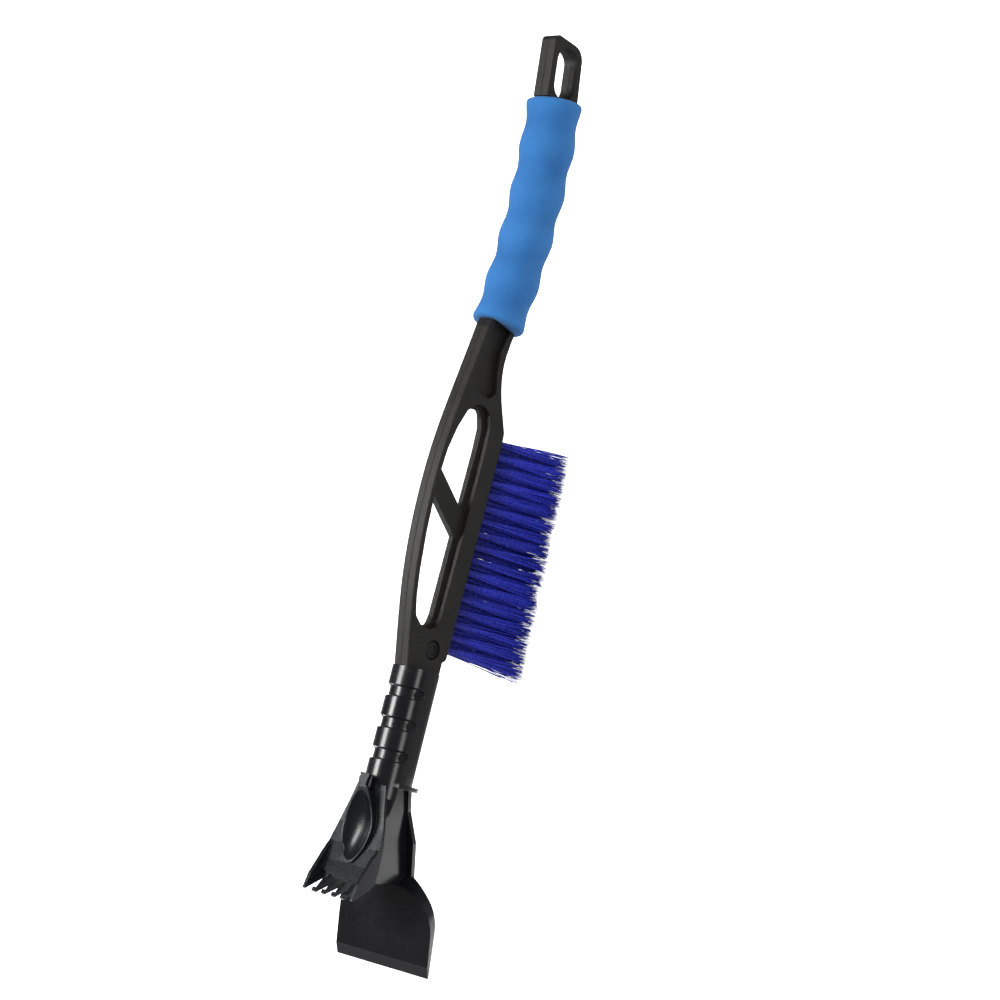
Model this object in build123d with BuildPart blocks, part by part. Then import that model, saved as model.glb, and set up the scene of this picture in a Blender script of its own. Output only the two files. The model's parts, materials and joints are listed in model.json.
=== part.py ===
from build123d import *
import math
import os

# Windshield snow brush with a detachable ice scraper head.
# Every profile is drawn on the tool plane: s runs along the neck axis towards
# the hang tab and h runs from the bristles towards the spine.  The tool stands
# on its bristle tips, so the tool plane is raked until the tips are level.

# ---- driving dimensions, mm and degrees ----
RAKE = 2.3
JOINT_X = -127.565
JOINT_Z = 95.2

FRAME_T = 13.0
WEB_T = 3.4
BRACE_T = 5.0
END_HALF = 16.3

GRIP_R = 567.7
GRIP_CENTRE = (332.3, 566.6)
GRIP_START = -8.87
GRIP_END = 8.17
CORE_HALF = 12.5
CORE_GAP = 0.3
FOAM_TOP_R = 19.1
FOAM_LOW_R = 17.9
FOAM_WAVE = 0.95
FOAM_WAVES = 5

RANKS = 17
RANK_PITCH = 9.3
FIRST_RANK = 19.0
ROW_T = 3.5
HOLE_R = 2.3
HOLE_DEPTH = 5.4
TUFT_R = 2.15
TIP_R = 4.1
FIRST_TIP = 20.5
TIP_SPAN = 153.0
TIP_ROW_T = 8.0

NECK_R = 16.5
NECK_BORE_R = 12.6
NECK_LEN = 78.5
GROOVE_MIDS = (-17.6, -39.5, -61.2)
GROOVE_LEN = 8.2
GROOVE_DEPTH = 2.0
GROOVE_FLOOR = 13.9
GROOVE_ARC = 136.0
FLANGE_R = 21.2
FLANGE_T = 3.0

SPIGOT_T = 8.6
SPIGOT_LEN = 24.4
SPIGOT_LOW = -13.2
SPIGOT_HIGH = 8.2
SOCKET_GAP = 0.2
BUTTON_S = 15.5
BUTTON_H = -4.3
BUTTON_R = 6.2
BUTTON_HOLE_R = 6.9
COLLAR_R = 7.2
HOLLOW_T = 5.6
BUTTON_BACK = 1.0
BUTTON_FRONT = 5.7

STEM_HALF = 8.5
BLADE_EDGE_S = -200.0
BLADE_EDGE_H = -36.0
BLADE_LEAN = 12.2
FACE_HALF = 44.3
FACE_TOP = 56.8
BACK_HALF = 42.0
BACK_TOP = 66.6
EDGE_T = 2.8
BEVEL = 7.3
TEETH = 6
TOOTH_PITCH = 9.1
FIN_T = 3.3
DISH_LOW = 13.0
HOLLOW_H = 30.1

os.makedirs("parts", exist_ok=True)

rake = math.radians(RAKE)
ALONG = Vector(math.cos(rake), 0, -math.sin(rake))
UP = Vector(math.sin(rake), 0, math.cos(rake))
side = Plane(origin=(JOINT_X, 0, JOINT_Z), x_dir=ALONG, z_dir=(0, -1, 0))
neck_axis = Axis(origin=(JOINT_X, 0, JOINT_Z), direction=ALONG)


def tool_point(s, h, t=0.0):
    """A point given along the neck axis, towards the spine and sideways."""
    return side.from_local_coords(Vector(s, h, t))


def grip_point(angle, radius):
    """A point on an arc about the grip's centre of curvature."""
    a = math.radians(angle)
    return (
        GRIP_CENTRE[0] + radius * math.sin(a),
        GRIP_CENTRE[1] - radius * math.cos(a),
    )


def grip_band(half, start, end):
    """The closed outline of a band of constant width along the grip's arc."""
    inner = GRIP_R - half
    outer = GRIP_R + half
    middle = (start + end) / 2
    ThreePointArc(grip_point(start, inner), grip_point(middle, inner), grip_point(end, inner))
    Line(grip_point(end, inner), grip_point(end, outer))
    ThreePointArc(grip_point(end, outer), grip_point(middle, outer), grip_point(start, outer))
    Line(grip_point(start, outer), grip_point(start, inner))


def bed_height(s):
    """Height of the bed face that the tufts stand in."""
    return -20.1 - (s - 14.0) * 0.012


def neck_plane(angle):
    """Plane through the neck's axis, turned about it by an angle from the spine side."""
    a = math.radians(angle)
    return Plane(
        origin=(JOINT_X, 0, JOINT_Z),
        x_dir=ALONG,
        z_dir=Vector(0, -1, 0) * math.cos(a) - UP * math.sin(a),
    )


# ---- handle frame ----
INNER = GRIP_R - CORE_HALF
OUTER = GRIP_R + CORE_HALF
CORE_MID = (GRIP_START + GRIP_END) / 2

with BuildPart() as handle_frame:
    with BuildSketch(side):
        with BuildLine():
            Spline(
                (0, END_HALF), (24, 22.3), (62, 30.4), (101, 34.3),
                (123, 34.8), (160, 32.7), (187, 28.9), (220, 23.5), (241, 20.2),
            )
            Line((241, 20.2), grip_point(GRIP_START, INNER))
            ThreePointArc(
                grip_point(GRIP_START, INNER),
                grip_point(CORE_MID, INNER),
                grip_point(GRIP_END, INNER),
            )
            Line(grip_point(GRIP_END, INNER), (411.4, 20.4))
            Line((411.4, 20.4), (450.5, 25.6))
            ThreePointArc((450.5, 25.6), (454.2, 24.7), (455.6, 21.4))
            Line((455.6, 21.4), (455.2, 5.0))
            ThreePointArc((455.2, 5.0), (452.2, -2.8), (444.6, -6.4))
            Line((444.6, -6.4), (416.2, -12.0))
            Line((416.2, -12.0), grip_point(GRIP_END, OUTER))
            ThreePointArc(
                grip_point(GRIP_END, OUTER),
                grip_point(CORE_MID, OUTER),
                grip_point(GRIP_START, OUTER),
            )
            Spline(
                grip_point(GRIP_START, OUTER), (221, -4.8), (209, -6.6), (196, -11.2),
                (186, -16.2), (178, -20.4), (170.5, bed_height(170.5)),
                tangents=[(-1, 0.05), (-1, -0.02)],
            )
            Line((170.5, bed_height(170.5)), (14, bed_height(14)))
            ThreePointArc((14, bed_height(14)), (11.2, -18.8), (9.4, -END_HALF))
            Line((9.4, -END_HALF), (0, -END_HALF))
            Line((0, -END_HALF), (0, END_HALF))
        make_face()
    extrude(amount=FRAME_T / 2, both=True)
    fillet(handle_frame.edges().filter_by(GeomType.BSPLINE), 1.0)

    # upper and lower window, split by the brace: a pocket in each broad face
    # and, set in at the bed side, a hole through the web between them
    for face in (1, -1):
        with BuildSketch(side.offset(face * WEB_T / 2)):
            with BuildLine():
                Polyline(
                    (188.0, 4.5), (186.4, 12.5), (180, 19.8), (167, 25.3), (150, 29.6), (134, 31.0),
                    (112, 30.9), (91, 29.9), (64, 26.9), (46, 23.6), (34.5, 20.0), (29.3, 13.2),
                    (28.4, 3.0), (32, -3.2), (40, -4.7), (158, -6.8), (174, -6.2), (184, -2.4),
                    (188.0, 4.5),
                )
            make_face()
            fillet(vertices(), 5.0)
        extrude(amount=face * FRAME_T, mode=Mode.SUBTRACT)
    with BuildSketch(side):
        with BuildLine():
            Polyline(
                (184.3, 5.0), (183.0, 15.5), (166, 24.9), (150, 29.0), (134, 30.4), (112, 30.3),
                (91, 29.3), (64, 26.3), (46, 23.0), (33.5, 18.6), (29.2, 10.0), (31.2, 1.0),
                (38, -0.9), (60, -1.0), (103, -1.2), (140, -2.0), (158, -3.0), (170, -2.8),
                (179.5, -0.2), (184.3, 5.0),
            )
        make_face()
        fillet(vertices(), 2.2)
    extrude(amount=FRAME_T, both=True, mode=Mode.SUBTRACT)
    with BuildSketch(side):
        with BuildLine():
            Polyline((140, 32.6), (110, -7.0), (90.5, -7.0), (120.5, 32.6), (140, 32.6))
        make_face()
    extrude(amount=BRACE_T / 2, both=True)

    # channel down both broad faces, from under the grip to above the upper window
    for face in (1, -1):
        with BuildSketch(side.offset(face * WEB_T / 2)):
            with BuildLine():
                channel_low = grip_point(GRIP_START, GRIP_R + 8.0)
                channel_high = grip_point(GRIP_START, GRIP_R - 8.6)
                Polyline(
                    channel_high, (226, 19.6), (208, 21.9), (194.4, 19.6), (193.4, 2.0), (199.5, -3.6),
                    (213, 0.4), (228, 1.8), channel_low, channel_high,
                )
            make_face()
            fillet(vertices().sort_by(Axis((JOINT_X, 0, JOINT_Z), ALONG))[0:4], 3.4)
        extrude(amount=face * FRAME_T, mode=Mode.SUBTRACT)
        with BuildSketch(side.offset(face * WEB_T / 2)):
            with BuildLine():
                grip_band(8.3, GRIP_START - 0.3, GRIP_END - 1.0)
            make_face()
        extrude(amount=face * FRAME_T, mode=Mode.SUBTRACT)

    # hang slot
    with BuildSketch(side):
        with Locations(Location((432.4, 6.9, 0), (0, 0, 8.5))):
            RectangleRounded(36, 21.5, 9.5)
    extrude(amount=FRAME_T, both=True, mode=Mode.SUBTRACT)

    # socket for the spigot and the hole the release button snaps into
    with BuildSketch(side):
        with Locations((SPIGOT_LEN / 2, (SPIGOT_LOW + SPIGOT_HIGH) / 2)):
            Rectangle(SPIGOT_LEN + 0.6, SPIGOT_HIGH - SPIGOT_LOW + 2 * SOCKET_GAP)
    extrude(amount=SPIGOT_T / 2 + SOCKET_GAP, both=True, mode=Mode.SUBTRACT)
    with BuildSketch(side):
        with Locations((BUTTON_S, BUTTON_H)):
            Circle(BUTTON_HOLE_R)
    extrude(amount=FRAME_T, mode=Mode.SUBTRACT)

    # blind holes for the tufts
    for rank in range(RANKS):
        s = FIRST_RANK + rank * RANK_PITCH
        spots = [(s, ROW_T), (s, -ROW_T)]
        if rank < RANKS - 1:
            spots.append((s + RANK_PITCH / 2, 0.0))
        for spot_s, spot_t in spots:
            with BuildSketch(Plane(origin=tool_point(spot_s, bed_height(spot_s), spot_t), z_dir=UP)):
                Circle(HOLE_R)
            extrude(amount=HOLE_DEPTH, mode=Mode.SUBTRACT)
            with BuildSketch(Plane(origin=tool_point(spot_s, bed_height(spot_s), spot_t), z_dir=-UP)):
                Circle(HOLE_R)
            extrude(amount=0.6, mode=Mode.SUBTRACT)
handle_frame.part.label = "handle_frame"
export_step(handle_frame.part, "parts/handle_frame.step")

# ---- foam grip ----
with BuildPart() as foam_grip:
    steps = 8 * FOAM_WAVES
    for step in range(steps + 1):
        share = step / steps
        angle = GRIP_START + 0.05 + share * (GRIP_END - GRIP_START - 0.1)
        a = math.radians(angle)
        s, h = grip_point(angle, GRIP_R)
        tangent = ALONG * math.cos(a) + UP * math.sin(a)
        with BuildSketch(Plane(origin=tool_point(s, h), x_dir=(0, 1, 0), z_dir=tangent)):
            Circle(
                FOAM_LOW_R
                + (FOAM_TOP_R - FOAM_LOW_R) * share
                + FOAM_WAVE * math.cos(2 * math.pi * FOAM_WAVES * share)
            )
    loft()
    fillet([edge for edge in foam_grip.edges() if edge.is_closed], 2.6)
    with BuildSketch(side):
        with BuildLine():
            grip_band(CORE_HALF + CORE_GAP, GRIP_START - 1, GRIP_END + 1)
        make_face()
    extrude(amount=FRAME_T / 2 + CORE_GAP, both=True, mode=Mode.SUBTRACT)
foam_grip.part.label = "foam_grip"
export_step(foam_grip.part, "parts/foam_grip.step")

# ---- brush: ranks of tufts and the staples that hold them ----
LAST_RANK = FIRST_RANK + (RANKS - 1) * RANK_PITCH


def tuft_spots(rank):
    """Root and tip of each tuft of a rank: s, t at the bed and s, t at the tip."""
    s = FIRST_RANK + rank * RANK_PITCH
    places = [(s, ROW_T), (s, -ROW_T)]
    if rank < RANKS - 1:
        places.append((s + RANK_PITCH / 2, 0.0))
    spots = []
    for root_s, root_t in places:
        share = (root_s - FIRST_RANK) / (LAST_RANK - FIRST_RANK)
        tip_s = FIRST_TIP + share * TIP_SPAN
        tip_t = root_t * TIP_ROW_T / ROW_T
        spots.append((root_s, root_t, tip_s, tip_t))
    return spots


def tip_x(tip_s):
    """Where a tuft that ends at tip_s on the tool plane meets the ground."""
    return JOINT_X + tip_s / math.cos(rake) - JOINT_Z * math.tan(rake)


for rank in range(RANKS):
    with BuildPart() as tufts:
        for root_s, root_t, tip_s, tip_t in tuft_spots(rank):
            root = tool_point(root_s, bed_height(root_s), root_t)
            with BuildSketch(Plane(origin=root + UP * (HOLE_DEPTH - 2.2), z_dir=UP)):
                Circle(TUFT_R)
            with BuildSketch(Plane(origin=root, z_dir=UP)):
                Circle(TUFT_R)
            with BuildSketch(Plane(origin=(tip_x(tip_s), -tip_t, 0), z_dir=(0, 0, 1))):
                Circle(TIP_R)
            loft(ruled=True)
    tufts.part.label = f"tufts_{rank + 1:02d}"
    export_step(tufts.part, f"parts/tufts_{rank + 1:02d}.step")

with BuildPart() as tuft_staples:
    for rank in range(RANKS):
        for root_s, root_t, tip_s, tip_t in tuft_spots(rank):
            top = tool_point(root_s, bed_height(root_s), root_t) + UP * (HOLE_DEPTH - 0.1)
            with BuildSketch(Plane(origin=top, x_dir=ALONG, z_dir=-UP)):
                Rectangle(3.8, 0.6)
            extrude(amount=1.7)
tuft_staples.part.label = "tuft_staples"
export_step(tuft_staples.part, "parts/tuft_staples.step")

# ---- scraper head: spigot, neck, flange, stem and blade in one moulding ----
blade_lean = math.radians(BLADE_LEAN)


def tool_direction(s, h):
    """A direction given on the tool plane, in world axes."""
    return ALONG * s + UP * h


def shoulder_profile(gap):
    """Half outline of the neck's rounded shoulder below the flange."""
    Polyline(
        (-78, 0), (-78, NECK_R + gap), (-90, NECK_R + gap), (-100, 14.5 + gap),
        (-108, 9.0 + gap), (-108, 0), (-78, 0),
    )


def blade_point(rise, depth):
    """A point a given way up the blade from its edge and behind its face."""
    return (
        BLADE_EDGE_S + rise * math.cos(blade_lean) + depth * math.sin(blade_lean),
        BLADE_EDGE_H + rise * math.sin(blade_lean) - depth * math.cos(blade_lean),
    )


def blade_plane(depth):
    """Plane parallel to the blade's front face, x across and y up the blade."""
    return Plane(
        origin=tool_point(*blade_point(0, depth)),
        x_dir=(0, -1, 0),
        z_dir=tool_direction(-math.sin(blade_lean), math.cos(blade_lean)),
    )


def blade_outline(half, top, corner):
    """The blade's arched outline, straight along the edge."""
    Line((-half, 0), (half, 0))
    Line((half, 0), (half, 0.46 * top))
    Spline(
        (half, 0.46 * top), (0.71 * half, corner * top), (0, top),
        (-0.71 * half, corner * top), (-half, 0.46 * top),
        tangents=[(0, 1), (0, -1)],
    )
    Line((-half, 0.46 * top), (-half, 0))


with BuildPart() as scraper_head:
    # blade: face and back outlines, then thinned towards the edge and bevelled
    for depth, half, top, corner in (
        (0.0, FACE_HALF, FACE_TOP, 0.86), (9.0, BACK_HALF, BACK_TOP, 0.82),
    ):
        with BuildSketch(blade_plane(depth)):
            with BuildLine():
                blade_outline(half, top, corner)
            make_face()
    loft(ruled=True)
    with BuildSketch(side):
        with BuildLine():
            Polyline(
                blade_point(-1, EDGE_T), blade_point(0, EDGE_T), blade_point(BACK_TOP, 8.6),
                blade_point(BACK_TOP, 14), blade_point(-1, 14), blade_point(-1, EDGE_T),
            )
        make_face()
        with BuildLine():
            Polyline(
                blade_point(BEVEL, 0), blade_point(-0.5, EDGE_T - 0.9), blade_point(-0.5, -1),
                blade_point(BEVEL, -1), blade_point(BEVEL, 0),
            )
        make_face()
    extrude(amount=60, both=True, mode=Mode.SUBTRACT)

    # neck with its flange, cut back where the claw passes it
    with BuildSketch(side):
        with BuildLine():
            Polyline(
                (-0.05, 0), (-0.05, NECK_R), (-NECK_LEN, NECK_R), (-NECK_LEN, FLANGE_R),
                (-NECK_LEN - FLANGE_T, FLANGE_R), (-NECK_LEN - FLANGE_T, 0), (-0.05, 0),
            )
        make_face()
    revolve(axis=neck_axis)
    for mid in GROOVE_MIDS:
        with BuildSketch(neck_plane(-GROOVE_ARC / 2)):
            with Locations((mid, NECK_R + 1.0)):
                RectangleRounded(GROOVE_LEN, 2 * (GROOVE_DEPTH + 1.0), 1.2)
        revolve(axis=neck_axis, revolution_arc=GROOVE_ARC, mode=Mode.SUBTRACT)
        for face in (1, -1):
            a = math.radians(90 + face * GROOVE_ARC / 2)
            outward = UP * math.sin(a) + Vector(0, 1, 0) * math.cos(a)
            with BuildSketch(
                Plane(origin=tool_point(mid, 0), x_dir=ALONG, z_dir=outward).offset(GROOVE_FLOOR)
            ):
                Circle(GROOVE_LEN / 2 - 0.6)
            extrude(amount=10, mode=Mode.SUBTRACT)
    with BuildSketch(side):
        with Locations((-NECK_LEN - FLANGE_T / 2, 9.0 + 10)):
            Rectangle(FLANGE_T + 0.02, 20.0)
    extrude(amount=25, both=True, mode=Mode.SUBTRACT)
    with BuildSketch(side):
        with BuildLine():
            shoulder_profile(0)
        make_face()
    revolve(axis=neck_axis)
    with BuildSketch(side):
        with Locations((-NECK_LEN - FLANGE_T - 15, 5.0 - 15)):
            Rectangle(30, 30)
    extrude(amount=20, both=True, mode=Mode.SUBTRACT)

    # stem with a web that carries the claw, and the wider plate down its back
    with BuildSketch(side):
        with BuildLine():
            Polyline(
                (-80, 12.9), (-122, 12.9), (-138, 11.9), (-146, 4.0), (-147, -6.0), (-143.4, -24.4),
                (-158, -30.0), (-150, -33.5), (-137, -30.0), (-125, -26.4), (-80, -10.8), (-80, 12.9),
            )
        make_face()
    extrude(amount=STEM_HALF, both=True)
    with BuildSketch(
        Plane(origin=tool_point(-80, -9.8), x_dir=(0, -1, 0), z_dir=tool_direction(-0.325, 0.946))
    ):
        with BuildLine():
            Polyline(
                (-11, 0), (11, 0), (10.5, -16), (16, -37), (14.5, -64), (-14.5, -64), (-16, -37),
                (-10.5, -16), (-11, 0),
            )
        make_face()
    extrude(amount=-3.2)

    # spigot, hollow through to the neck, open at the release button
    with BuildSketch(side):
        with Locations((SPIGOT_LEN / 2 - 0.5, (SPIGOT_LOW + SPIGOT_HIGH) / 2)):
            Rectangle(SPIGOT_LEN + 1.0, SPIGOT_HIGH - SPIGOT_LOW)
    extrude(amount=SPIGOT_T / 2, both=True)
    with BuildSketch(side):
        with BuildLine():
            Polyline((-4, 0), (-4, NECK_BORE_R), (-74, NECK_BORE_R), (-74, 0), (-4, 0))
        make_face()
    revolve(axis=neck_axis, mode=Mode.SUBTRACT)
    with BuildSketch(side):
        with BuildLine():
            Polyline(
                (-5, SPIGOT_LOW + 1.4), (23.0, SPIGOT_LOW + 1.4), (23.0, SPIGOT_HIGH - 1.6),
                (-5, SPIGOT_HIGH - 1.6), (-5, SPIGOT_LOW + 1.4),
            )
        make_face()
    extrude(amount=HOLLOW_T / 2, both=True, mode=Mode.SUBTRACT)
    with BuildSketch(side):
        with Locations((BUTTON_S, BUTTON_H)):
            Circle(BUTTON_R + 0.2)
    extrude(amount=SPIGOT_T, mode=Mode.SUBTRACT)
scraper_head.part.label = "scraper_head"
export_step(scraper_head.part, "parts/scraper_head.step")

# ---- release button and the leaf spring behind it ----
with BuildPart() as release_button:
    with BuildSketch(side.offset(BUTTON_BACK)):
        with Locations((BUTTON_S, BUTTON_H)):
            Circle(COLLAR_R)
    extrude(amount=HOLLOW_T / 2 - 0.15 - BUTTON_BACK)
    with BuildSketch(side.offset(BUTTON_BACK)):
        with Locations((BUTTON_S, BUTTON_H)):
            Circle(BUTTON_R)
    extrude(amount=BUTTON_FRONT - BUTTON_BACK)
    chamfer(release_button.faces().sort_by(Axis.Y)[0].edges(), 0.6)
    with BuildSketch(side.offset(BUTTON_FRONT - 0.7)):
        with Locations((BUTTON_S, BUTTON_H)):
            Circle(BUTTON_R - 1.9)
    extrude(amount=2, mode=Mode.SUBTRACT)
release_button.part.label = "release_button"
export_step(release_button.part, "parts/release_button.step")

with BuildPart() as button_spring:
    with BuildSketch(Plane(origin=tool_point(BUTTON_S, BUTTON_H), x_dir=ALONG, z_dir=-UP)):
        with BuildLine():
            foot = -HOLLOW_T / 2 + 0.05
            ThreePointArc((-6.2, foot), (0, BUTTON_BACK - 0.05), (6.2, foot))
            Line((6.2, foot), (5.5, foot))
            ThreePointArc((5.5, foot), (0, BUTTON_BACK - 0.45), (-5.5, foot))
            Line((-5.5, foot), (-6.2, foot))
        make_face()
    extrude(amount=2.5, both=True)
button_spring.part.label = "button_spring"
export_step(button_spring.part, "parts/button_spring.step")

# ---- ice breaker claw with its thumb dish ----
plan = Plane(origin=tool_point(0, 0), x_dir=ALONG, z_dir=UP)

FIN_HALF = TOOTH_PITCH * (TEETH - 1) / 2 + 1.2

with BuildPart() as ice_breaker_claw:
    # the two outer fins run up to the elbows of the palm
    with BuildSketch(side):
        with BuildLine():
            Polyline(
                (-120, 13.2), (-138, 12.2), (-147, 13.4), (-152, 17.0), (-160.8, 29.9), (-160.2, 31.0),
                (-150, 28.9), (-142.5, 25.6), (-132, 20.4), (-126, 16.9), (-120, 15.6), (-120, 13.2),
            )
        make_face()
    extrude(amount=FIN_HALF, both=True)
    with BuildSketch(plan):
        with BuildLine():
            Polyline(
                (-118, -FIN_HALF + 2.9), (-146, -FIN_HALF + 2.9), (-164, -FIN_HALF + 1.5),
                (-164, FIN_HALF - 1.5), (-146, FIN_HALF - 2.9), (-118, FIN_HALF - 2.9),
                (-118, -FIN_HALF + 2.9),
            )
        make_face()
    extrude(amount=60, mode=Mode.SUBTRACT)
    # inner fins, narrowed towards their tips
    for fin in range(1, TEETH - 1):
        with BuildSketch(side.offset((fin - (TEETH - 1) / 2) * TOOTH_PITCH)):
            with BuildLine():
                Polyline(
                    (-138, 12.2), (-148, 13.4), (-155, 18.4), (-161.4, 29.2), (-160.6, 30.8),
                    (-152, 27.6), (-145, 22.4), (-138, 19.0), (-138, 12.2),
                )
            make_face()
        extrude(amount=FIN_T / 2, both=True)
    with BuildSketch(plan):
        for gap in range(TEETH - 1):
            with Locations((0, (gap - (TEETH - 2) / 2) * TOOTH_PITCH)):
                with BuildLine():
                    Polyline((-150, -2.7), (-164, -3.7), (-164, 3.7), (-150, 2.7), (-150, -2.7))
                make_face()
    extrude(amount=60, mode=Mode.SUBTRACT)
    # palm, a plate that widens from the flange to its elbows
    with BuildSketch(plan.offset(12.95)):
        with BuildLine():
            Polyline((-81.7, -13.0), (-96, -16.6), (-111, -21.2), (-125, -FIN_HALF), (-143, -FIN_HALF))
            ThreePointArc((-143, -FIN_HALF), (-149.0, 0), (-143, FIN_HALF))
            Polyline((-143, FIN_HALF), (-125, FIN_HALF), (-111, 21.2), (-96, 16.6), (-81.7, 13.0))
            Line((-81.7, 13.0), (-81.7, -13.0))
        make_face()
    extrude(amount=18)
    with BuildSketch(side):
        with BuildLine():
            Polyline(
                (-80, 14.6), (-111, 15.2), (-125, 16.6), (-138, 18.8), (-150, 22.0), (-158, 27.0),
                (-158, 40), (-80, 40), (-80, 14.6),
            )
        make_face()
    extrude(amount=FIN_HALF - 2.9, both=True, mode=Mode.SUBTRACT)
    for face in (1, -1):
        with BuildSketch(side.offset(face * (FIN_HALF - 3.0))):
            with BuildLine():
                Polyline(
                    (-80, 14.6), (-111, 15.2), (-125, 17.0), (-132, 20.8), (-142.5, 25.6), (-150, 28.9),
                    (-160, 40), (-80, 40), (-80, 14.6),
                )
            make_face()
        extrude(amount=face * 8, mode=Mode.SUBTRACT)
    # thumb dish and the tab that stands off the neck above it
    with BuildSketch(plan.offset(DISH_LOW)):
        with BuildLine():
            Line((-76.4, -4.8), (-76.4, 4.8))
            Spline(
                (-76.4, 4.8), (-85.5, 3.7), (-95, 8.6), (-108, 13.3), (-122, 11.8), (-133, 6.4), (-137.4, 0),
                tangents=[(-0.9, -0.35), (0, -1)],
            )
            Spline(
                (-137.4, 0), (-133, -6.4), (-122, -11.8), (-108, -13.3), (-95, -8.6), (-85.5, -3.7),
                (-76.4, -4.8), tangents=[(0, -1), (0.9, -0.35)],
            )
        make_face()
    extrude(amount=12)
    with BuildSketch(side):
        with BuildLine():
            Polyline(
                (-70, 30), (-76.4, 23.9), (-86, 22.9), (-98, 20.4), (-110, 19.0), (-126, 18.9),
                (-137.5, 20.2), (-139, 30), (-70, 30),
            )
        make_face()
    extrude(amount=16, both=True, mode=Mode.SUBTRACT)
    with BuildSketch(side):
        with BuildLine():
            Polyline(
                (-76.3, 21.4), (-86, 20.4), (-94, 18.0), (-97, 17.0), (-97, 10), (-70, 10), (-70, 21.4),
                (-76.3, 21.4),
            )
        make_face()
    extrude(amount=5.2, both=True, mode=Mode.SUBTRACT)
    with BuildSketch(side):
        with BuildLine():
            ThreePointArc((-136.2, HOLLOW_H - 9.6), (-113.0, HOLLOW_H - 16.4), (-87.0, HOLLOW_H - 6.6))
            Polyline(
                (-87.0, HOLLOW_H - 6.6), (-87.0, HOLLOW_H), (-136.2, HOLLOW_H),
                (-136.2, HOLLOW_H - 9.6),
            )
        make_face()
    revolve(axis=Axis(origin=tool_point(-112, HOLLOW_H), direction=ALONG), mode=Mode.SUBTRACT)
    with BuildSketch(side):
        with BuildLine():
            shoulder_profile(0.06)
        make_face()
    revolve(axis=neck_axis, mode=Mode.SUBTRACT)
ice_breaker_claw.part.label = "ice_breaker_claw"
export_step(ice_breaker_claw.part, "parts/ice_breaker_claw.step")
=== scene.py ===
import json
import math
import random

import bpy
import numpy as np
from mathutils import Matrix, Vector, noise


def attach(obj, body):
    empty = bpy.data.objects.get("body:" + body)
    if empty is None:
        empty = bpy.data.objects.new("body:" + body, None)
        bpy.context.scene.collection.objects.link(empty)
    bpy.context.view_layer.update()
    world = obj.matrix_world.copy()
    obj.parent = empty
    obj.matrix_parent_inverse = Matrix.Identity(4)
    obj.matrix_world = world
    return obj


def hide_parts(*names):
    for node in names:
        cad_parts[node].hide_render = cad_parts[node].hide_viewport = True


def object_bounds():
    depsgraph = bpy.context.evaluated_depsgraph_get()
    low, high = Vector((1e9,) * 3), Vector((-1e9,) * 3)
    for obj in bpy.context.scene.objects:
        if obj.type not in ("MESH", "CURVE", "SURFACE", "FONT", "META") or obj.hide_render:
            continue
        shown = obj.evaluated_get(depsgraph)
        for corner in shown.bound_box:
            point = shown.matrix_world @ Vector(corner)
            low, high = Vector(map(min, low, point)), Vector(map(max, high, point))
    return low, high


# Windshield snow brush with a detachable ice scraper head.
# s, h and t are the part's own tool axes in millimetres: along the neck
# towards the hang tab, from the bristles towards the spine, and sideways.
# SLOT_MID is the hang slot's s and h, which ties those axes to the frame.

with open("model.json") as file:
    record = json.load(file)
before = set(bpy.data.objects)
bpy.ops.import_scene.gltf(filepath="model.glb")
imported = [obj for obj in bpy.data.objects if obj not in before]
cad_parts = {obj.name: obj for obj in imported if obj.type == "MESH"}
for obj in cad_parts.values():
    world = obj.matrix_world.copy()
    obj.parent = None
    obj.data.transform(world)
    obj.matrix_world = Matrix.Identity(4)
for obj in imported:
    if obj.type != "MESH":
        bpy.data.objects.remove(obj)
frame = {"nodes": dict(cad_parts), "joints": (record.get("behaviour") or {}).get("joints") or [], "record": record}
cad_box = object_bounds()
nodes = frame["nodes"]

pull = next(j for j in frame["joints"] if j["name"] == "head_pull_out")
ALONG = -Vector(pull["axis"]).normalized()
UP = Vector((-ALONG.z, 0, ALONG.x))
SLOT_MID = (432.4, 6.9)
slot_place = Vector(frame["record"]["mounts"][0]["pos_m"])
ORIGIN = slot_place - (ALONG * SLOT_MID[0] + UP * SLOT_MID[1]) / 1000


def tool(s, h, t=0.0):
    """Tool axes in millimetres to the row frame in metres."""
    return ORIGIN + (ALONG * s + UP * h + Vector((0, -1, 0)) * t) / 1000


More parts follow.
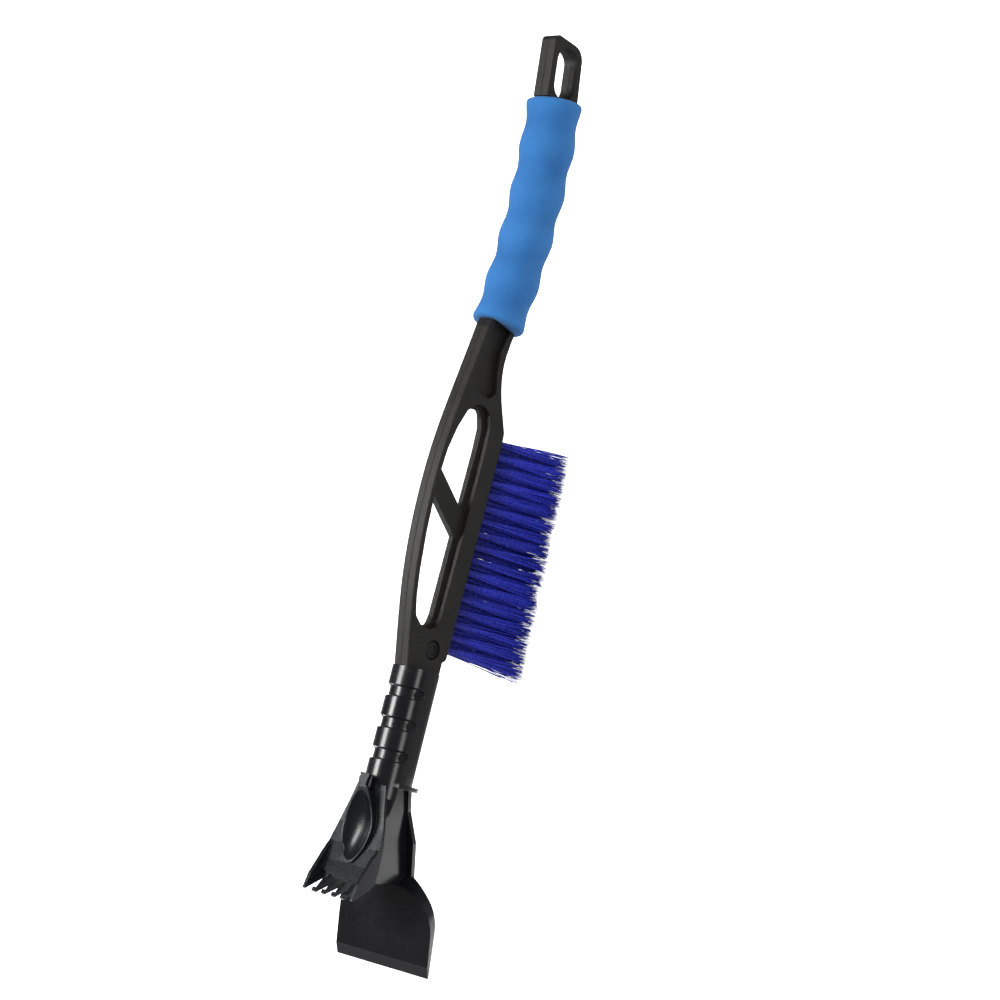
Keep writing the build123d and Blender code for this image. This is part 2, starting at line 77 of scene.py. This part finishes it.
# ---------------------------------------------------------------- materials
class Graph:
    """A material and short calls for the nodes in it."""

    def __init__(self, name):
        self.material = bpy.data.materials.new(name)
        self.material.use_nodes = True
        self.tree = self.material.node_tree
        self.shader = self.tree.nodes["Principled BSDF"]
        self.coords = self.add("ShaderNodeTexCoord").outputs["Object"]

    def add(self, kind, **settings):
        node = self.tree.nodes.new(kind)
        for name, value in settings.items():
            setattr(node, name, value)
        return node

    def put(self, socket, value):
        """Links an output to a socket, or sets the socket's own value."""
        if isinstance(value, bpy.types.NodeSocket):
            self.tree.links.new(value, socket)
        else:
            socket.default_value = value

    def stretched(self, scale):
        """Object coordinates scaled by three numbers."""
        node = self.add("ShaderNodeMapping")
        self.put(node.inputs["Vector"], self.coords)
        node.inputs["Scale"].default_value = scale
        return node.outputs["Vector"]

    def noise(self, scale, detail, rough, vector=None):
        node = self.add("ShaderNodeTexNoise")
        self.put(node.inputs["Vector"], vector or self.coords)
        node.inputs["Scale"].default_value = scale
        node.inputs["Detail"].default_value = detail
        node.inputs["Roughness"].default_value = rough
        return node.outputs["Fac"]

    def cells(self, scale):
        """Distance to the middle of the nearest cell."""
        node = self.add("ShaderNodeTexVoronoi")
        self.put(node.inputs["Vector"], self.coords)
        node.inputs["Scale"].default_value = scale
        return node.outputs["Distance"]

    def span(self, value, low, high, out_low, out_high):
        """Maps a value from one range to another, with its ends held."""
        node = self.add("ShaderNodeMapRange")
        for name, number in (
            ("Value", value), ("From Min", low), ("From Max", high),
            ("To Min", out_low), ("To Max", out_high),
        ):
            self.put(node.inputs[name], number)
        return node.outputs["Result"]

    def noise_span(self, value, out_low, out_high):
        """Maps the range that most of a noise's values lie in."""
        return self.span(value, 0.3, 0.7, out_low, out_high)

    def math(self, operation, a, b=0.0):
        """One sum, product or other operation on two numbers."""
        node = self.add("ShaderNodeMath", operation=operation)
        self.put(node.inputs[0], a)
        self.put(node.inputs[1], b)
        return node.outputs[0]

    def mix(self, share, a, b):
        """Mixes two colours."""
        node = self.add("ShaderNodeMix", data_type="RGBA")
        self.put(node.inputs[0], share)
        self.put(node.inputs[6], a if not isinstance(a, tuple) else (*a, 1))
        self.put(node.inputs[7], b if not isinstance(b, tuple) else (*b, 1))
        return node.outputs[2]

    def axis(self, name):
        """One of the object's own coordinates, by its letter."""
        node = self.add("ShaderNodeSeparateXYZ")
        self.put(node.inputs[0], self.coords)
        return node.outputs[name]

    def attribute(self, name):
        """A number kept at each point of the mesh."""
        return self.add("ShaderNodeAttribute", attribute_name=name).outputs["Fac"]

    def edges(self, radius):
        """Rounded normals and a mask that is 1 along edges."""
        bevel = self.add("ShaderNodeBevel", samples=6)
        bevel.inputs["Radius"].default_value = radius
        geometry = self.add("ShaderNodeNewGeometry")
        dot = self.add("ShaderNodeVectorMath", operation="DOT_PRODUCT")
        self.put(dot.inputs[0], bevel.outputs["Normal"])
        self.put(dot.inputs[1], geometry.outputs["Normal"])
        mask = self.span(dot.outputs["Value"], 0.72, 0.97, 1.0, 0.0)
        return bevel.outputs["Normal"], mask

    def bump(self, height, distance, normal=None, strength=1.0):
        """A normal tilted by a height that is distance metres at its most."""
        node = self.add("ShaderNodeBump")
        self.put(node.inputs["Height"], height)
        node.inputs["Distance"].default_value = distance
        node.inputs["Strength"].default_value = strength
        if normal is not None:
            self.put(node.inputs["Normal"], normal)
        return node.outputs["Normal"]

    def surface(self, **sockets):
        """Sets the shader's sockets by name, with _ for a space."""
        for name, value in sockets.items():
            if isinstance(value, tuple) and len(value) == 3:
                value = (*value, 1)
            self.put(self.shader.inputs[name.replace("_", " ")], value)
        return self.material


# Widths and depths in materials are in metres, like the coordinates they read.
SEAM_HALF = (0.00018, 0.00042)
SEAM_STEP = 0.00030
SEAM_COLOUR = (0.004, 0.004, 0.004)
WAVE_DEPTH = 0.00012
SATIN_FADE = 0.0003
SATIN_SHEEN_COLOUR = (0.017, 0.017, 0.019)
SATIN_ROUGHER = 0.2


def grained_plastic(
    name, dark, light, rough, grain, depth, edge_wear_highlight, specular,
    edge=0.0005, parting=False, satin_sheen_x=None,
):
    """Moulded plastic with a fine grain, uneven gloss and paler edges, partly wear and partly a painted highlight.

    parting adds the mould's parting line in the middle plane, and satin_sheen_x a
    paler, duller strip where X is below it: duller for a matt finish, paler
    for a painted highlight.
    """
    g = Graph(name)
    normal, edge_mask = g.edges(edge)
    cloud = g.noise(28, 3, 0.6)
    speck = g.noise(grain, 2, 0.6)
    broken = g.span(g.noise(240, 3, 0.7), 0.35, 0.7, 0.1, 1.0)
    # Paler edges: partly wear, partly a painted highlight along the rounded edges.
    edge_wear_and_highlight = g.math("MULTIPLY", edge_mask, broken)
    tone = g.mix(g.noise_span(cloud, 0, 1), dark, light)
    colour = g.mix(g.math("MULTIPLY", edge_wear_and_highlight, 0.6), tone, edge_wear_highlight)
    gloss = g.math("ADD", g.noise_span(cloud, *rough), g.noise_span(speck, -0.03, 0.05))
    fine = g.bump(speck, depth, normal)
    wavy = g.bump(g.noise(45, 1, 0.4), WAVE_DEPTH, fine, strength=0.25)
    if parting:
        off_centre = g.math("ABSOLUTE", g.axis("Y"))
        seam = g.span(off_centre, *SEAM_HALF, 1.0, 0.0)
        wavy = g.bump(seam, SEAM_STEP, wavy)
        colour = g.mix(g.math("MULTIPLY", seam, 0.55), colour, SEAM_COLOUR)
    # A paler, duller strip on the blade's bevel: duller for a matt finish, paler for a painted highlight.
    if satin_sheen_x is not None:
        satin_and_sheen = g.span(g.axis("X"), satin_sheen_x, satin_sheen_x + SATIN_FADE, 1.0, 0.0)
        colour = g.mix(satin_and_sheen, colour, SATIN_SHEEN_COLOUR)
        gloss = g.math("ADD", gloss, g.math("MULTIPLY", satin_and_sheen, SATIN_ROUGHER))
    return g.surface(Base_Color=colour, Roughness=gloss, Normal=wavy, Specular_IOR_Level=specular)


FOAM_DARK = (0.022, 0.124, 0.340)
FOAM_LIGHT = (0.029, 0.150, 0.392)
FOAM_PORE_SHADE = (0.010, 0.075, 0.260)
FOAM_LUMP = (0.070, 0.240, 0.520)
FOAM_VALLEY_SHADE = (0.010, 0.078, 0.250)
PORE_DEPTH = 0.00030


def foam_material():
    """Closed-cell foam: fine pores with painted shade in them, soft mottling, painted shade in patches in the
    troughs of its waves, a dull sheen.
    """
    g = Graph("foam_cells")
    pores = g.cells(1500)
    lumps = g.noise(330, 3, 0.6)
    cloud = g.noise(32, 3, 0.55)
    tone = g.mix(g.noise_span(cloud, 0, 1), FOAM_DARK, FOAM_LIGHT)
    # Darker in the pores' hollows: painted shade.
    pore_shade = g.span(pores, 0.05, 0.5, 1.0, 0.0)
    colour = g.mix(g.math("MULTIPLY", pore_shade, 0.22), tone, FOAM_PORE_SHADE)
    colour = g.mix(g.span(lumps, 0.56, 0.74, 0, 0.12), colour, FOAM_LUMP)
    # Darker patches in the troughs of the grip's waves: painted shade.
    valley_shade = g.attribute("valley_shade")
    valley_shade_patch = g.math("MULTIPLY", valley_shade, g.span(g.noise(70, 3, 0.6), 0.30, 0.60, 0.10, 0.42))
    colour = g.mix(valley_shade_patch, colour, FOAM_VALLEY_SHADE)
    height = g.math("ADD", g.math("MULTIPLY", pores, 0.6), g.math("MULTIPLY", lumps, 0.9))
    return g.surface(
        Base_Color=colour,
        Roughness=g.noise_span(lumps, 0.78, 0.95),
        Normal=g.bump(height, PORE_DEPTH, strength=0.6),
        Specular_IOR_Level=0.25,
        Sheen_Weight=0.10,
        Sheen_Roughness=0.5,
        Sheen_Tint=(0.6, 0.8, 1.0),
    )


BRISTLE_DARK = (0.0080, 0.0110, 0.190)
BRISTLE_LIGHT = (0.028, 0.044, 0.640)
BRISTLE_ROOT_SHADE = (0.0025, 0.0030, 0.060)
BRISTLE_TIP = (0.080, 0.110, 0.600)
CRIMP_DEPTH = 0.00010


def bristle_material():
    """Crimped filament: each one its own blue, with painted shade towards its root, in the middle row and at the
    tufts' edges, and paler at its tip.
    """
    g = Graph("bristle_filament")
    reach = g.attribute("reach")
    base = g.mix(g.attribute("tone"), BRISTLE_DARK, BRISTLE_LIGHT)
    # Painted shade: darker towards the root, deep in the brush.
    shaded = g.mix(g.span(reach, 0.0, 0.30, 0.70, 0.0), base, BRISTLE_ROOT_SHADE)
    tipped = g.mix(g.span(reach, 0.95, 1.0, 0.0, 0.35), shaded, BRISTLE_TIP)
    crimp = g.noise(900, 1, 0.5, g.stretched((0.4, 0.4, 1.0)))
    return g.surface(
        Base_Color=tipped,
        Roughness=g.noise_span(crimp, 0.22, 0.42),
        Normal=g.bump(crimp, CRIMP_DEPTH, strength=0.5),
        Specular_IOR_Level=0.55,
    )


STEEL_DARK = (0.42, 0.43, 0.45)
STEEL_LIGHT = (0.66, 0.66, 0.67)
SCRATCH_DEPTH = 0.00002


def steel_material(name):
    """Drawn steel with lengthwise scratches."""
    g = Graph(name)
    scratches = g.noise(900, 3, 0.6, g.stretched((0.15, 2.5, 2.5)))
    return g.surface(
        Base_Color=g.mix(scratches, STEEL_DARK, STEEL_LIGHT),
        Metallic=1.0,
        Roughness=g.noise_span(scratches, 0.22, 0.42),
        Normal=g.bump(scratches, SCRATCH_DEPTH),
    )


def dress(node, material):
    """Gives a CAD node its one material."""
    data = nodes[node].data
    data.materials.clear()
    data.materials.append(material)


# The blade's bevel takes this length of the part's low X end.
BEVEL_RUN = 0.0071

frame_plastic = grained_plastic(
    "frame_plastic",
    dark=(0.0105, 0.0098, 0.0092),
    light=(0.0165, 0.0150, 0.0140),
    rough=(0.38, 0.48),
    grain=2200,
    depth=0.00016,
    edge_wear_highlight=(0.050, 0.046, 0.043),
    specular=0.37,
    parting=True,
)
head_plastic = grained_plastic(
    "head_plastic",
    dark=(0.0056, 0.0056, 0.0068),
    light=(0.0078, 0.0077, 0.0092),
    rough=(0.17, 0.25),
    grain=1500,
    depth=0.000008,
    edge_wear_highlight=(0.060, 0.060, 0.065),
    specular=0.50,
    edge=0.0006,
    satin_sheen_x=cad_box[0].x + BEVEL_RUN,
)
claw_plastic = grained_plastic(
    "claw_plastic",
    dark=(0.0045, 0.0050, 0.0066),
    light=(0.0070, 0.0075, 0.0098),
    rough=(0.22, 0.30),
    grain=1500,
    depth=0.00001,
    edge_wear_highlight=(0.150, 0.153, 0.165),
    specular=0.36,
    edge=0.0006,
)
button_plastic = grained_plastic(
    "button_plastic",
    dark=(0.0035, 0.0035, 0.0035),
    light=(0.0055, 0.0055, 0.0055),
    rough=(0.18, 0.28),
    grain=1500,
    depth=0.00002,
    edge_wear_highlight=(0.020, 0.020, 0.020),
    specular=0.45,
    edge=0.0003,
)
foam_cells = foam_material()
filament = bristle_material()

dress("handle_frame", frame_plastic)
dress("scraper_head", head_plastic)
dress("ice_breaker_claw", claw_plastic)
dress("release_button", button_plastic)
dress("tuft_staples", steel_material("staple_wire"))
dress("button_spring", steel_material("spring_strip"))


# ---------------------------------------------------------------- meshes
def make_object(name, points, faces, material, smooth=True):
    """A mesh object in the scene, made of points in metres."""
    mesh = bpy.data.meshes.new(name)
    mesh.from_pydata([tuple(p) for p in points], [], faces)
    mesh.validate()
    if smooth:
        mesh.shade_smooth()
    mesh.materials.append(material)
    piece = bpy.data.objects.new(name, mesh)
    bpy.context.scene.collection.objects.link(piece)
    return piece


def keep_numbers(piece, name, values):
    """Keeps one number for each point of a mesh, for its material to read."""
    attribute = piece.data.attributes.new(name, "FLOAT", "POINT")
    attribute.data.foreach_set("value", np.array(values, np.float32))


def ring_faces(rings, size, closed_along=False):
    """Quads between rings of points that follow each other."""
    faces = []
    last = rings if closed_along else rings - 1
    for i in range(last):
        j = (i + 1) % rings
        for k in range(size):
            m = (k + 1) % size
            faces.append((i * size + k, i * size + m, j * size + m, j * size + k))
    return faces


# ---------------------------------------------------------------- foam grip
# The grip bends along an arc: its radius and centre in s and h, and its ends in
# degrees from the point straight below the centre. The sleeve stops END_GAP
# degrees short of them. BORE holds half sizes, and DENTS pairs of a noise's
# frequency and its depth in millimetres.
GRIP_R = 567.7
GRIP_CENTRE = (332.3, 566.6)
GRIP_START = -8.87
GRIP_END = 8.17
END_GAP = 0.05
FOAM_LOW_R = 17.9
FOAM_TOP_R = 19.1
FOAM_WAVE = 0.95
FOAM_WAVES = 5
END_ROUND = 3.0
END_RINGS = 7
LENGTH_RINGS = 230
AROUND = 128
BORE = (12.8, 6.8)
BORE_SQUARENESS = 9.0
BORE_SHARES = (1.0, 0.75, 0.5, 0.25, 0.0)
FACE_DEPTH = 0.55
DENTS = ((55, 0.10), (170, 0.05))


def foam_radius(share):
    """The sleeve's radius at a share of its length, with its waves."""
    return (
        FOAM_LOW_R
        + (FOAM_TOP_R - FOAM_LOW_R) * share
        + FOAM_WAVE * math.cos(2 * math.pi * FOAM_WAVES * share)
    )


def grip_place(share):
    """Centre and the two cross directions of the grip at a share of its length."""
    a = math.radians(GRIP_START + END_GAP + share * (GRIP_END - GRIP_START - 2 * END_GAP))
    s = GRIP_CENTRE[0] + GRIP_R * math.sin(a)
    h = GRIP_CENTRE[1] - GRIP_R * math.cos(a)
    out = UP * math.cos(a) - ALONG * math.sin(a)
    return tool(s, h), out, Vector((0, 1, 0))


def bore_point(angle):
    """A point of the bore's rounded rectangle in the direction of an angle."""
    c, s = math.cos(angle), math.sin(angle)
    power = BORE_SQUARENESS
    size = (abs(c / BORE[0]) ** power + abs(s / BORE[1]) ** power) ** (-1 / power)
    return c * size, s * size


def outer_rings():
    """Shares of the length, each with its ring's offset from the radius: rounded at both ends."""
    corner = END_ROUND / (math.radians(GRIP_END - GRIP_START - 2 * END_GAP) * GRIP_R)
    turns = [math.pi / 2 * i / (END_RINGS - 1) for i in range(END_RINGS)]
    rings = []
    for turn in turns:
        rings.append((corner * (1 - math.cos(turn)), -END_ROUND * (1 - math.sin(turn))))
    for i in range(1, LENGTH_RINGS):
        rings.append((corner + (1 - 2 * corner) * i / LENGTH_RINGS, 0.0))
    for turn in turns:
        rings.append((1 - corner * (1 - math.sin(turn)), -END_ROUND * (1 - math.cos(turn))))
    return rings


def outer_row(share, inset):
    """One ring of points on the sleeve's dented outside."""
    centre, out, across = grip_place(share)
    radius = foam_radius(share) + inset
    row = []
    for k in range(AROUND):
        angle = 2 * math.pi * k / AROUND
        direction = out * math.cos(angle) + across * math.sin(angle)
        p = centre + direction * (radius / 1000)
        dent = sum(noise.noise(p * scale) * depth for scale, depth in DENTS)
        row.append(p + direction * (dent / 1000))
    return row


def inner_row(share, depth):
    """One ring between the end face's rim, at depth 0, and the bore, at depth 1."""
    centre, out, across = grip_place(share)
    rim = foam_radius(share) - END_ROUND
    row = []
    for k in range(AROUND):
        angle = 2 * math.pi * k / AROUND
        a, b = bore_point(angle)
        u = math.cos(angle) * rim * (1 - depth) + a * depth
        v = math.sin(angle) * rim * (1 - depth) + b * depth
        row.append(centre + (out * u + across * v) / 1000)
    return row


def build_foam():
    """The sleeve's skin: along the outside, over the far end, back through the bore."""
    rings = outer_rings()
    rows = [outer_row(share, inset) for share, inset in rings]
    rows.append(inner_row(1.0, FACE_DEPTH))
    rows += [inner_row(share, 1.0) for share in BORE_SHARES]
    rows.append(inner_row(0.0, FACE_DEPTH))
    points = [p for row in rows for p in row]
    sleeve = make_object("foam_sleeve", points, ring_faces(len(rows), AROUND, True), foam_cells)
    # How deep each ring lies in a wave trough, for the painted shade there.
    valley_shades = [0.5 - 0.5 * math.cos(2 * math.pi * FOAM_WAVES * share) for share, _ in rings]
    valley_shades += [0.0] * (len(rows) - len(rings))
    keep_numbers(sleeve, "valley_shade", np.repeat(valley_shades, AROUND))
    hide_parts("foam_grip")
    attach(sleeve, "handle")


build_foam()


# ---------------------------------------------------------------- bristles
# A rank is two outer tufts and, but for the last one, a middle tuft half a pitch
# further on. Lengths are in millimetres, and pairs are along the tool and across
# it. A filament's tip keeps TIP_ORDER of its root's place along the tool and is
# smeared by up to TIP_SMEAR, so that neighbouring tufts merge.
RANKS = 17
RANK_PITCH = 9.3
FIRST_RANK = 19.0
ROW_T = 3.5
TIP_ROW_T = 8.0
FIRST_TIP = 20.5
TIP_SPAN = 153.0
BED_START = (14.0, -20.1)
BED_FALL = 0.012
FILAMENTS = 68
FILAMENT_R = (0.21, 0.27)
SIDES = 5
SPANS = 7
ROOT_DEPTH = 3.0
MOUTH_DROP = 0.5
ROOT_DISC_R = 2.05
TIP_DISC_R = 3.9
TIP_SMEAR = 4.1
END_SCATTER = 1.0
INNER_SCATTER = 0.35
STRAY_SHARE = 0.18
STRAY_REACH = (1.5, 4.5)
TIP_ORDER = 0.35
TIP_JITTER = (0.4, 0.55)
TUFT_LEAN = (0.45, 0.6)
BOW_JITTER = (0.45, 0.6)
BOW_OUTWARD = (0.4, 0.7)
SHORTER_BY = 0.8
SHORTER_MAX = 3.0
FLOOR_GAP = 0.3
TIP_TAPER = 0.8
# Tone offsets: TONE and the random ones are the filaments' own colour; the rest paint shade, darker in the middle
# row and at each tuft's edge, a little lighter in the outer rows.
TONE = 0.66
TUFT_EDGE_SHADE = -0.28
OUTER_ROW_LIGHT = 0.05
MIDDLE_ROW_SHADE = -0.36
TUFT_TONE = 0.10
FILAMENT_TONE = 0.08
chance = random.Random(41)


def bed_height(s):
    """The underside of the bed, which the tufts stand in."""
    return BED_START[1] - (s - BED_START[0]) * BED_FALL


def tuft_places(rank):
    """Where the rank's tufts leave the bed, as pairs of s and t."""
    s = FIRST_RANK + rank * RANK_PITCH
    places = [(s, ROW_T), (s, -ROW_T)]
    if rank < RANKS - 1:
        places.append((s + RANK_PITCH / 2, 0.0))
    return places


def disc():
    """A random point in a unit disc."""
    r = math.sqrt(chance.random())
    a = chance.uniform(0, 2 * math.pi)
    return r * math.cos(a), r * math.sin(a)


def tip_place(root_s, root_t):
    """The X and t where the middle of a tuft would meet the floor."""
    share = (root_s - FIRST_RANK) / ((RANKS - 1) * RANK_PITCH)
    tip_s = FIRST_TIP + share * TIP_SPAN
    foot_x = ORIGIN.x + tip_s / 1000 / ALONG.x + ORIGIN.z * ALONG.z / ALONG.x
    return foot_x, root_t * TIP_ROW_T / ROW_T


def filament_path(root_s, root_t, lean, scatter, outward):
    """Centreline of one filament from inside its hole to its tip, and how far out it stands."""
    u, v = disc()
    stray = 0.0
    if outward and chance.random() < STRAY_SHARE:
        stray = outward * chance.uniform(*STRAY_REACH)
    hole = (root_s + u * ROOT_DISC_R, root_t + v * ROOT_DISC_R)
    root = tool(hole[0], bed_height(root_s) + ROOT_DEPTH, hole[1])
    mouth = tool(hole[0], bed_height(root_s) - MOUTH_DROP, hole[1])
    foot_x, foot_t = tip_place(root_s, root_t)
    spread = TIP_DISC_R + scatter * abs(chance.gauss(0, 1.0))
    along = TIP_ORDER * u * spread + chance.uniform(-TIP_SMEAR, TIP_SMEAR)
    tip = Vector((
        foot_x + (along + lean[0] + stray + chance.gauss(0, TIP_JITTER[0])) / 1000,
        -(foot_t + v * spread + lean[1] + chance.gauss(0, TIP_JITTER[1])) / 1000,
        0,
    ))
    short = min(abs(chance.gauss(0, SHORTER_BY)), SHORTER_MAX) / 1000
    bow_along = chance.gauss(0, BOW_JITTER[0]) + u * BOW_OUTWARD[0]
    bow_side = chance.gauss(0, BOW_JITTER[1]) + v * BOW_OUTWARD[1]
    bow = Vector((bow_along, -bow_side, 0)) / 1000
    path = [root, mouth]
    for i in range(1, SPANS):
        f = i / (SPANS - 1)
        path.append(mouth.lerp(tip, f) + bow * math.sin(math.pi * f))
    path[-1] = path[-1].lerp(path[-2], short / (path[-1] - path[-2]).length)
    path[-1].z = max(path[-1].z, FLOOR_GAP / 1000)
    return path, abs(u)


def add_filament(path, radius, points, faces):
    """Adds a closed tube around a centreline to a mesh's points and faces."""
    start = len(points)
    for i, p in enumerate(path):
        ahead = path[min(i + 1, len(path) - 1)] - path[max(i - 1, 0)]
        side_a = ahead.cross(Vector((0, 1, 0))).normalized()
        side_b = ahead.cross(side_a).normalized()
        thin = TIP_TAPER if i == len(path) - 1 else 1.0
        for k in range(SIDES):
            a = 2 * math.pi * k / SIDES
            points.append(p + (side_a * math.cos(a) + side_b * math.sin(a)) * radius * thin)
    for face in ring_faces(len(path), SIDES):
        faces.append(tuple(start + n for n in face))
    faces.append(tuple(start + k for k in reversed(range(SIDES))))
    end = start + (len(path) - 1) * SIDES
    faces.append(tuple(end + k for k in range(SIDES)))


def build_rank(rank):
    """One rank of tufts as loose filaments, in place of its solid cones."""
    points, faces, tones, reach = [], [], [], []
    scatter = END_SCATTER if rank in (0, RANKS - 1) else INNER_SCATTER
    outward = {0: -1, RANKS - 1: 1}.get(rank, 0)
    for root_s, root_t in tuft_places(rank):
        lean = [chance.gauss(0, amount) for amount in TUFT_LEAN]
        # Painted shade: the middle row is darker than the outer rows, and each tuft's edge filaments darker than
        # its middle ones.
        row_shade = OUTER_ROW_LIGHT if root_t else MIDDLE_ROW_SHADE
        tuft_tone_and_shade = TONE + row_shade + chance.uniform(-TUFT_TONE, TUFT_TONE)
        for _ in range(FILAMENTS):
            path, rim = filament_path(root_s, root_t, lean, scatter, outward)
            tone = tuft_tone_and_shade + TUFT_EDGE_SHADE * rim + chance.gauss(0, FILAMENT_TONE)
            radius = chance.uniform(*FILAMENT_R) / 1000
            add_filament(path, radius, points, faces)
            tones += [min(max(tone, 0), 1)] * (len(path) * SIDES)
            for i in range(len(path)):
                reach += [max(i - 1, 0) / (len(path) - 2)] * SIDES
    piece = make_object(f"bristles_{rank + 1:02d}", points, faces, filament)
    keep_numbers(piece, "tone", tones)
    keep_numbers(piece, "reach", reach)
    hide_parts(f"tufts_{rank + 1:02d}")
    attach(piece, "handle")


for rank in range(RANKS):
    build_rank(rank)


# ---------------------------------------------------------------- stage
FLOOR_HALF = 4.0
FLOOR_Z = -0.0003
FLOOR_PAPER = ((0.90, 0.90, 0.90), (0.93, 0.93, 0.93))
FLOOR_REFLECTED = (0.22, 0.22, 0.22)
FLOOR_SEEN = 0.65
GLOW = 2.1
GLOW_X = (-0.23, -0.20)
GLOW_Y = (-0.128, -0.108)
GLOW_OUTSIDE = 0.15
FILL_MATTE = 0.50
FILL_REFLECTED = 0.10


def build_floor():
    """White paper: lifted for the camera, dark in reflections apart from a glow beside the head."""
    g = Graph("floor_paper")
    cloud = g.noise(3, 2, 0.5)
    path = g.add("ShaderNodeLightPath")
    glossy_ray = path.outputs["Is Glossy Ray"]
    paper = g.mix(cloud, *FLOOR_PAPER)
    glow_along = g.span(g.axis("X"), *GLOW_X, GLOW, 0.0)
    glow_across = g.span(g.axis("Y"), *GLOW_Y, GLOW_OUTSIDE, 1.0)
    beside_head = g.math("MULTIPLY", glow_along, glow_across)
    glow = g.math("MULTIPLY", glossy_ray, beside_head)
    seen = g.math("MULTIPLY", path.outputs["Is Camera Ray"], FLOOR_SEEN)
    material = g.surface(
        Base_Color=g.mix(glossy_ray, paper, FLOOR_REFLECTED),
        Roughness=0.9,
        Specular_IOR_Level=0.1,
        Emission_Color=(1.0, 1.0, 1.0),
        Emission_Strength=g.math("ADD", seen, glow),
    )
    corners = ((-1, -1), (1, -1), (1, 1), (-1, 1))
    points = [(x * FLOOR_HALF, y * FLOOR_HALF, FLOOR_Z) for x, y in corners]
    floor = make_object("floor", points, [(0, 1, 2, 3)], material, smooth=False)


def add_light(name, place, target, size, power):
    """A white area light, with its size in metres and its power in watts."""
    data = bpy.data.lights.new(name, "AREA")
    data.shape = "RECTANGLE"
    data.size, data.size_y = size
    data.energy = power
    light = bpy.data.objects.new(name, data)
    light.location = place
    light.rotation_mode = "QUATERNION"
    light.rotation_quaternion = (Vector(target) - Vector(place)).to_track_quat("-Z", "Y")
    bpy.context.scene.collection.objects.link(light)
    return light


def build_world():
    """Even studio light: bright to the camera and to matte surfaces, dim in reflections."""
    world = bpy.data.worlds.new("studio")
    bpy.context.scene.world = world
    world.use_nodes = True
    tree = world.node_tree
    path = tree.nodes.new("ShaderNodeLightPath")
    fill = tree.nodes.new("ShaderNodeMix")
    fill.inputs[2].default_value = FILL_MATTE
    fill.inputs[3].default_value = FILL_REFLECTED
    tree.links.new(path.outputs["Is Glossy Ray"], fill.inputs[0])
    seen = tree.nodes.new("ShaderNodeMix")
    seen.inputs[3].default_value = 1.0
    tree.links.new(path.outputs["Is Camera Ray"], seen.inputs[0])
    tree.links.new(fill.outputs[0], seen.inputs[2])
    background = tree.nodes["Background"]
    background.inputs["Color"].default_value = (1, 1, 1, 1)
    tree.links.new(seen.outputs[0], background.inputs["Strength"])


def build_lights():
    """One soft box for each highlight, and an overhead one that reflections don't show."""
    middle = (cad_box[0] + cad_box[1]) / 2
    neck_and_claw = (-0.17, 0, 0.09)
    blade = (-0.27, 0, 0.08)
    add_light("strip_box", (0.06, 0.55, 1.26), neck_and_claw, (0.7, 0.34), 14.5)
    add_light("blade_box", (-0.27, 0.80, 0.956), blade, (0.35, 0.35), 1.6)
    add_light("front_box", (0.15, -1.6, 0.9), middle, (1.4, 0.5), 9)
    overhead = add_light("overhead", (0.3, 0.1, 2.0), middle, (1.4, 1.0), 17)
    overhead.visible_glossy = False


CAMERA_PLACE = (-0.19767, -1.13891, 1.28021)
CAMERA_TURN = (0.307182, 0.700602, -1.287760)
CAMERA_LENS = 86.4


def build_camera():
    """The photo's own view, fitted by the tool's outline."""
    data = bpy.data.cameras.new("camera")
    data.sensor_width = 36.0
    data.lens = CAMERA_LENS
    data.clip_end = 20
    camera = bpy.data.objects.new("camera", data)
    camera.location = CAMERA_PLACE
    camera.rotation_euler = CAMERA_TURN
    bpy.context.scene.collection.objects.link(camera)
    bpy.context.scene.camera = camera


build_floor()
build_world()
build_lights()
build_camera()
bpy.context.scene.view_settings.view_transform = "Standard"
